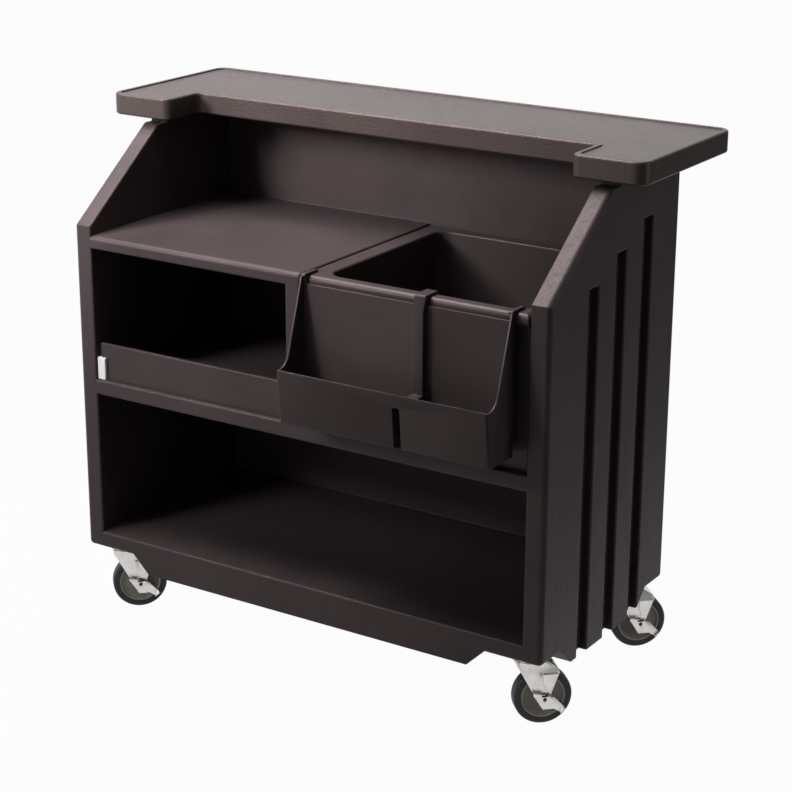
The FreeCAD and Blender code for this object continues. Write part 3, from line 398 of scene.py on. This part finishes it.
# %% [markdown]
# The tyre is a ring of grey-black rubber. Its bore is made by bridging the two inset ends, its shoulders are
# a bevel, each side wall has a shallow moulded channel, and a fine line runs round the middle of the tread.
# Edges and faces are told apart by how far they lie from the axle and from the wheel's middle plane.

# %% Tyre
wheel_radius, hub_radius, tyre_width = 0.0635, 0.0486, 0.032
wheel_sides = 96
shoulder_inside, shoulder_round = 0.062, 0.006
channel_margin, channel_slope, channel_depth = 0.0022, 0.0008, 0.0007
tread_inside = 0.060
line_half_width, line_reach, line_slope, line_depth = 0.0007, 0.0004, 0.0003, 0.0005


def on_shoulder(at, along):
    on_side = abs(abs(at.z) - tyre_width / 2) < hair
    return on_side and out_from_axle(at) > shoulder_inside and abs(along.z) < hair


def on_tread_middle(at, along):
    return abs(at.z) < hair and out_from_axle(at) > tread_inside and abs(along.z) < hair


clear_selection()
bpy.ops.mesh.primitive_cylinder_add(vertices=wheel_sides, radius=wheel_radius, depth=tyre_width)
tyre = bpy.context.object
tyre.name = "tyre_pattern"
bpy.ops.object.mode_set(mode="EDIT")
pick("faces", is_end_face)
bpy.ops.mesh.inset(thickness=wheel_radius - hub_radius)
bpy.ops.mesh.bridge_edge_loops()
pick("edges", on_shoulder)
bpy.ops.mesh.bevel(offset=shoulder_round, segments=6)
pick("faces", lambda at, out: abs(out.z) > wholly)
bpy.ops.mesh.inset(thickness=channel_margin)
bpy.ops.mesh.inset(thickness=channel_slope, depth=-channel_depth)
bpy.ops.mesh.select_all(action="SELECT")
bpy.ops.mesh.bisect(plane_co=(0.0, 0.0, 0.0), plane_no=(0.0, 0.0, 1.0))
pick("edges", on_tread_middle)
bpy.ops.mesh.bevel(offset=line_half_width, segments=1)
pick("faces", lambda at, out: abs(at.z) < line_reach and out_from_axle(at) > tread_inside)
bpy.ops.mesh.inset(thickness=line_slope, depth=-line_depth)
finish_solid()
tyre.data.materials.append(finishes["tread_rubber"])
print("tyre", len(tyre.data.polygons), "faces")

# %% [markdown]
# The hub is grey-brown nylon. From the outside in, each end has a lip, later painted paler as a highlight, a
# step down to the web, one raised ring, the sloping web itself, and a boss that stands up round the axle.
# Each pair of numbers is one step: how far it goes inwards, and how far up or down.

# %% Hub
hub_width = 0.0304
hub_steps = (
    (0.0036, 0.0), (0.0008, -0.0040), (0.0060, -0.0006), (0.0005, 0.0008), (0.0020, 0.0),
    (0.0005, -0.0008), (0.0170, -0.0008), (0.0012, 0.0087), (0.0080, 0.0),
)
lip_middle, lip_reach, lip_level, lip_round = 0.0468, 0.0022, 0.0151, 0.0008
boss_radius, boss_reach, boss_level, boss_round = 0.017, 0.0004, 0.0184, 0.001


def on_lip(at, along):
    in_reach = abs(out_from_axle(at) - lip_middle) < lip_reach
    return in_reach and abs(at.z) > lip_level and abs(along.z) < hair


def on_boss(at, along):
    return abs(at.z) > boss_level and abs(out_from_axle(at) - boss_radius) < boss_reach


clear_selection()
bpy.ops.mesh.primitive_cylinder_add(vertices=wheel_sides, radius=hub_radius, depth=hub_width)
hub = bpy.context.object
hub.name = "hub_pattern"
bpy.ops.object.mode_set(mode="EDIT")
pick("faces", is_end_face)
for inward, rise in hub_steps:
    bpy.ops.mesh.inset(thickness=inward, depth=rise)
bpy.ops.mesh.bridge_edge_loops()
pick("edges", on_lip)
bpy.ops.mesh.bevel(offset=lip_round, segments=3)
pick("edges", on_boss)
bpy.ops.mesh.bevel(offset=boss_round, segments=3)
finish_solid()
print("hub", len(hub.data.polygons), "faces")

# %% [markdown]
# The hub's lip is painted as a paler ring between the web and the tyre, a painted highlight for the light its
# rounded lip catches. It could be a ring of its own, but it is the same moulding, so it stays one mesh, and
# the painted highlight is a second material, given to the faces that lie far out from the axle and near the
# ends.

# %% Painted highlight on the hub's lip
pale_inside, pale_level = 0.0435, 0.0130
# a pale finish that paints the highlight the rounded lip would catch
hub_lip_highlight = grained_finish(
    "hub lip painted highlight", (0.62, 0.59, 0.55), (0.72, 0.69, 0.64), (0.78, 0.75, 0.71), (0.35, 0.48),
    depth=0.0001, radius=0.001, patches=30.0
)
hub.data.materials.append(finishes["hub_plastic"])
hub.data.materials.append(hub_lip_highlight)
for face in hub.data.polygons:
    is_pale = out_from_axle(face.center) > pale_inside and abs(face.center.z) > pale_level
    face.material_index = 1 if is_pale else 0
print("pale faces", sum(face.material_index for face in hub.data.polygons))

# %% [markdown]
# ## Fork, bracket and brake
# The fork and the brake lever are stamped from zinc-plated sheet, so their edges are slightly rolled over by
# the press. Their outlines are right already, so a copy of each construction mesh is merged, freed of its
# loose triangles and given a real bevel, which a shader trick alone would not bring into the exported mesh.

# %% A softened copy of a construction piece
merge_gap = 0.000005
flat_degrees, sharp_degrees = 0.5, 40.0


def softened_copy(node, name, width, segments):
    """A copy of a node's mesh with its sharp edges rounded."""
    clear_selection()
    piece = bpy.data.objects.new(name, nodes[node].data.copy())
    bpy.context.scene.collection.objects.link(piece)
    bpy.context.view_layer.objects.active = piece
    piece.select_set(True)
    bpy.ops.object.mode_set(mode="EDIT")
    bpy.ops.mesh.select_all(action="SELECT")
    bpy.ops.mesh.remove_doubles(threshold=merge_gap)
    bpy.ops.mesh.dissolve_limited(angle_limit=math.radians(flat_degrees))
    bpy.ops.object.mode_set(mode="OBJECT")
    rounding = piece.modifiers.new("rolled edges", "BEVEL")
    rounding.width = width
    rounding.segments = segments
    rounding.limit_method = "ANGLE"
    rounding.angle_limit = math.radians(sharp_degrees)
    rounding.use_clamp_overlap = False
    bpy.ops.object.modifier_apply(modifier=rounding.name)
    bpy.ops.object.shade_smooth_by_angle(angle=math.radians(smooth_degrees))
    return piece


print("a softened copy rounds edges sharper than", sharp_degrees, "degrees")

# %% [markdown]
# Beside the fork's rib a second stamping is spot-welded on, which the brake acts on. It starts as a cube of
# the sheet's thickness, bisect cuts its two slanting sides, as shears would, and an extrusion bends its upper
# edge outwards. It is made at the origin in the caster's own directions: X points back along the trail, and Y
# across the wheel.

# %% Brake bracket
bracket_size = (0.034, 0.0025, 0.036)
bracket_middle = (0.0445, -0.02425, 0.1000)
shear_cuts = (
    ((0.0605, 0.0, 0.118), (0.80, 0.0, -0.42)),
    ((0.0275, 0.0, 0.100), (-0.95, 0.0, -0.30)),
)
bent_edge = (0.0, -0.0035, 0.0015)
bracket_round = 0.0006
clear_selection()
bpy.ops.mesh.primitive_cube_add(size=1.0)
bracket = bpy.context.object
bracket.name = "bracket_pattern"
bracket.scale = bracket_size
bracket.location = bracket_middle
bpy.ops.object.transform_apply(location=True, rotation=False, scale=True)
bpy.ops.object.mode_set(mode="EDIT")
for cut_point, outwards in shear_cuts:
    bpy.ops.mesh.select_all(action="SELECT")
    bpy.ops.mesh.bisect(plane_co=cut_point, plane_no=outwards, clear_outer=True, use_fill=True)
pick("faces", lambda at, out: out.z > mostly)
bpy.ops.mesh.extrude_region_move(TRANSFORM_OT_translate={"value": bent_edge})
pick("edges", lambda at, along: abs(along.y) < hair)
bpy.ops.mesh.bevel(offset=bracket_round, segments=2)
finish_solid()
bracket.data.materials.append(finishes["caster_metal"])
print("bracket", len(bracket.data.polygons), "faces")

# %% [markdown]
# Each corner now gets its own copies, each with its own mesh, because every caster moves by itself. A matrix
# turns the wheel's Z into the axle's direction and carries it to the axle's centre, which is the middle of
# the construction's tread. A caster's wheel trails its kingpin, so the kingpin is found from the axle by
# going back along the trail.

# %% Casters at the four corners
caster_turn = math.radians(44.0)
caster_trail = 0.030
fork_round, brake_round = 0.0008, 0.0007
trail_way = Vector((math.cos(caster_turn), math.sin(caster_turn), 0.0))
across = Vector((-trail_way.y, trail_way.x, 0.0))
upward = Vector((0.0, 0.0, 1.0))


def own_copy(pattern, name, matrix):
    piece = bpy.data.objects.new(name, pattern.data.copy())
    bpy.context.scene.collection.objects.link(piece)
    piece.data.transform(matrix)
    return piece


def directions(x_way, y_way, z_way, origin):
    matrix = Matrix((x_way, y_way, z_way)).transposed().to_4x4()
    matrix.translation = origin
    return matrix


for corner in ("front_left", "front_right", "rear_left", "rear_right"):
    tread, core = corner + "_caster_tread", corner + "_caster_hub"
    fork, lever = corner + "_caster_fork", corner + "_caster_brake_lever"
    low, high = (Vector(point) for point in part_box(tread))
    axle = (low + high) / 2
    kingpin = Vector((axle.x, axle.y, 0.0)) - trail_way * caster_trail
    at_axle = directions(trail_way, -upward, across, axle)
    at_kingpin = directions(trail_way, across, upward, kingpin)
    made = (
        (own_copy(tyre, corner + "_tyre", at_axle), "_wheel", tread),
        (own_copy(hub, corner + "_wheel_hub", at_axle), "_wheel", core),
        (softened_copy(fork, corner + "_stamped_fork", fork_round, 2), "_yoke", fork),
        (softened_copy(lever, corner + "_stamped_brake", brake_round, 2), "_brake", lever),
    )
    for piece, body, node in made:
        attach(piece, corner + body)
        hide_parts(node)
    plate = own_copy(bracket, corner + "_brake_bracket", at_kingpin)
    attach(plate, corner + "_yoke")
for pattern in (tyre, hub, bracket):
    bpy.data.objects.remove(pattern)
print("four casters dressed")

# %% [markdown]
# ## Speed rail
# The rail is a trough that hangs in front of the bin, and it is one thin moulding. Its free edges are
# rounded, and they catch the light as fine pale lines, so it too becomes a softened copy.

# %% Rail
rail_round = 0.0014
rail = softened_copy("speed_rail", "rail_trough", rail_round, 3)
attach(rail, "speed_rail")
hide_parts("speed_rail")
print("rail", len(rail.data.polygons), "faces")

# %% [markdown]
# ## Floor, light and camera
# The bar stands in a bright white studio. Its floor is one very large plane, so that no edge of it comes into
# the picture.

# %% Floor
floor_size = 60.0
bpy.ops.object.select_all(action="DESELECT")
bpy.ops.mesh.primitive_plane_add(size=floor_size)
floor = bpy.context.object
floor.name = "studio_floor"
print("floor", floor.dimensions[:2])

# %% [markdown]
# The floor is paper. White paper would throw so much light up that the dark plastic looked grey, so the paper
# itself is dim. Light Path tells which kind of ray meets it: the camera sees it almost white, and a mirroring
# surface sees it bright on the left and dark on the right, so that the zinc shines and the right side of the
# bar stays dark.

# %% Studio paper
paper_tone, paper_rough, paper_gloss = 0.18, 0.9, 0.1
camera_white = 0.97
left_shine, right_shine = 0.75, 0.03
bright_until, dark_from = 0.85, 1.2
paper = bpy.data.materials.new("studio paper")
paper.use_nodes = True
tree = paper.node_tree
shader = tree.nodes["Principled BSDF"]
shader.inputs["Base Color"].default_value = (paper_tone, paper_tone, paper_tone, 1.0)
shader.inputs["Roughness"].default_value = paper_rough
shader.inputs["Specular IOR Level"].default_value = paper_gloss
glow = add(tree, "ShaderNodeEmission", strength=1.0)
seen = add(tree, "ShaderNodeLightPath")
mirrored = add(tree, "ShaderNodeMath", operation="MAXIMUM")
faint = add(tree, "ShaderNodeMath", operation="MULTIPLY")
spot = add(tree, "ShaderNodeTexCoord")
across_floor = add(tree, "ShaderNodeSeparateXYZ")
dim = add_range(tree, bright_until, dark_from, left_shine, right_shine)
share = add(tree, "ShaderNodeMath", operation="MULTIPLY_ADD")
share.inputs[1].default_value = camera_white
blend = add(tree, "ShaderNodeMixShader")
link(tree, seen, "Is Glossy Ray", mirrored, 0)
link(tree, seen, "Is Transmission Ray", mirrored, 1)
link(tree, spot, "Object", across_floor, "Vector")
link(tree, across_floor, "X", dim, "Value")
link(tree, mirrored, "Value", faint, 0)
link(tree, dim, "Result", faint, 1)
link(tree, seen, "Is Camera Ray", share, 0)
link(tree, faint, "Value", share, 2)
link(tree, share, "Value", blend, "Fac")
link(tree, shader, "BSDF", blend, 1)
link(tree, glow, "Emission", blend, 2)
link(tree, blend, "Shader", tree.nodes["Material Output"], "Surface")
floor.data.materials.append(paper)
print("floor has", paper.name)

# %% [markdown]
# The world does the same above the floor. It is white to the camera, it gives only a weak fill light, and a
# mirroring surface sees it bright on the left, fading to dark on the right. A Mix node's number sockets are
# told by number too.

# %% World
first_number, second_number = 2, 3
world_white, weak_fill = 0.977, 0.10
left_glow, right_glow = 1.0, 0.08
left_until, right_from = -0.2, 0.7
world = bpy.data.worlds.new("studio")
bpy.context.scene.world = world
world.use_nodes = True
tree = world.node_tree
seen = add(tree, "ShaderNodeLightPath")
mirrored = add(tree, "ShaderNodeMath", operation="MAXIMUM")
way = add(tree, "ShaderNodeTexCoord")
parts = add(tree, "ShaderNodeSeparateXYZ")
falloff = add_range(tree, left_until, right_from, left_glow, right_glow)
fill = add(tree, "ShaderNodeMix", data_type="FLOAT")
fill.inputs[first_number].default_value = weak_fill
level = add(tree, "ShaderNodeMix", data_type="FLOAT")
level.inputs[second_number].default_value = world_white
tree.nodes["Background"].inputs["Color"].default_value = (1.0, 1.0, 1.0, 1.0)
link(tree, seen, "Is Glossy Ray", mirrored, 0)
link(tree, seen, "Is Transmission Ray", mirrored, 1)
link(tree, way, "Generated", parts, "Vector")
link(tree, parts, "X", falloff, "Value")
link(tree, mirrored, "Value", fill, 0)
link(tree, falloff, "Result", fill, second_number)
link(tree, seen, "Is Camera Ray", level, 0)
link(tree, fill, 0, level, first_number)
link(tree, level, 0, tree.nodes["Background"], "Strength")
print("world", world.name)

# %% [markdown]
# Three soft lamps light the bar. The left one has a narrow spread and points past the left end of the top, so
# the fronts grow darker downwards and to the right. The top one gives the broad sheen on the bar top and on
# the slopes, and the right one is only a trace, which brings the brown back into the dark side.

# %% Lamps
def soft_lamp(name, at, aim, size, power, spread=180.0):
    """A square area lamp that looks at a point and spreads its light over an angle in degrees."""
    bpy.ops.object.light_add(type="AREA", location=at)
    lamp = bpy.context.object
    lamp.name = name
    lamp.data.size = size
    lamp.data.energy = power
    lamp.data.spread = math.radians(spread)
    lamp.rotation_euler = (Vector(aim) - Vector(at)).to_track_quat("-Z", "Y").to_euler()


soft_lamp("left_lamp", at=(-1.7, -2.5, 2.3), aim=(-0.75, -0.1, 1.4), size=0.9, power=14.5, spread=50.0)
soft_lamp("top_lamp", at=(-1.0, -0.4, 3.6), aim=(0.0, 0.0, 1.1), size=2.0, power=180.0)
soft_lamp("right_lamp", at=(3.4, 0.9, 1.2), aim=(0.6, 0.0, 0.6), size=1.2, power=4.5, spread=90.0)

# %% [markdown]
# The camera was found from the straight edges of the bar in the picture: its direction, height, distance and
# lens make the bar's corners fall near their places there. Two angles turn it about its target, and a slight
# roll follows the picture's tilt. A matrix of three directions sets all of that at once.

# %% Camera
azimuth, elevation, roll = (math.radians(angle) for angle in (32.65, 18.72, 0.26))
target = Vector((0.0843, -0.012, 0.5883))
target_distance = 4.6664
focal_pixels, picture_pixels = 2093.8, 792.0
back = Vector(
    (math.sin(azimuth) * math.cos(elevation), -math.cos(azimuth) * math.cos(elevation), math.sin(elevation))
)
level_right = (-back).cross(upward).normalized()
level_up = level_right.cross(-back)
right = level_right * math.cos(roll) + level_up * math.sin(roll)
up = level_up * math.cos(roll) - level_right * math.sin(roll)
bpy.ops.object.camera_add()
camera = bpy.context.object
camera.name = "photo_camera"
pose = directions(right, up, back, target + back * target_distance)
camera.matrix_world = pose
camera.data.lens = focal_pixels / picture_pixels * camera.data.sensor_width
camera.data.clip_end = 100.0
bpy.context.scene.camera = camera
bpy.context.scene.view_settings.view_transform = "Standard"
print("camera at", tuple(round(v, 3) for v in pose.translation), "lens", round(camera.data.lens, 1))

# %% [markdown]
# Last, the view layer is brought up to date.

# %% Update the scene
bpy.context.view_layer.update()
